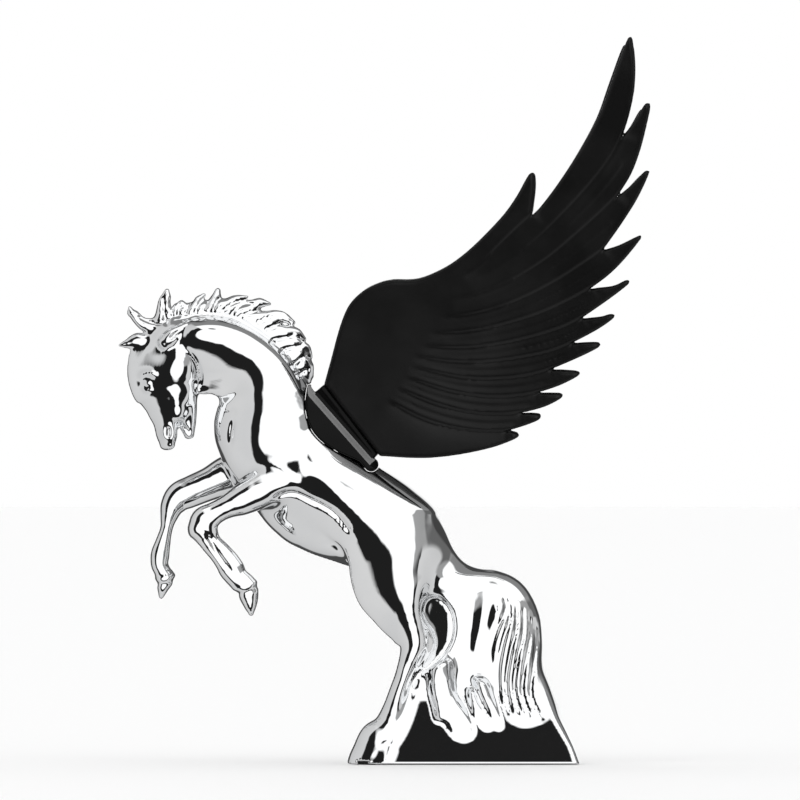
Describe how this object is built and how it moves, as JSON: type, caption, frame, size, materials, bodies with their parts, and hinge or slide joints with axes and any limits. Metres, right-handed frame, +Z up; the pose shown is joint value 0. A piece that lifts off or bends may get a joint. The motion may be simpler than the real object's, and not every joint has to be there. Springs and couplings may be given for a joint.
{
  "type": "hood ornament",
  "caption": "Chromed rearing winged horse on a flared hollow foot, with removable black wings socketed in a black saddle; bolts to a vehicle hood.",
  "frame": {"origin": "middle of the underside of the pad under the foot, on the surface the ornament stands on", "axes": "+Z up, the longest extent; the horse faces -X and its left side is -Y; Y is the width, the shortest extent"},
  "size_m": [0.1388, 0.1132, 0.19],
  "materials": {
    "chrome": "mirror polished chrome plate",
    "saddle_black": "gloss black moulded plastic",
    "wing_black": "satin black moulded plastic",
    "seal_rubber": "matt dark grey rubber",
    "pad_rubber": "matt black rubber",
    "plate_steel": "zinc plated steel",
    "screw_steel": "black steel"
  },
  "bodies": {
    "horse": {"horse_casting": "chrome", "wing_saddle": "saddle_black", "saddle_seal": "seal_rubber", "saddle_screws": "screw_steel", "saddle_washers": "screw_steel", "base_plate": "plate_steel", "weld_nuts": "plate_steel", "base_plate_screws": "screw_steel", "base_pad": "pad_rubber"},
    "left_wing": {"left_wing": "wing_black"},
    "right_wing": {"right_wing": "wing_black"}
  },
  "joints": [
    {"name": "left_wing_slide", "type": "slide", "parent": "horse", "child": "left_wing", "axis": [0.7127, -0.309, 0.6298], "range_m": [0, 0.008]},
    {"name": "right_wing_slide", "type": "slide", "parent": "horse", "child": "right_wing", "axis": [0.7127, 0.309, 0.6298], "range_m": [0, 0.008]}
  ]
}
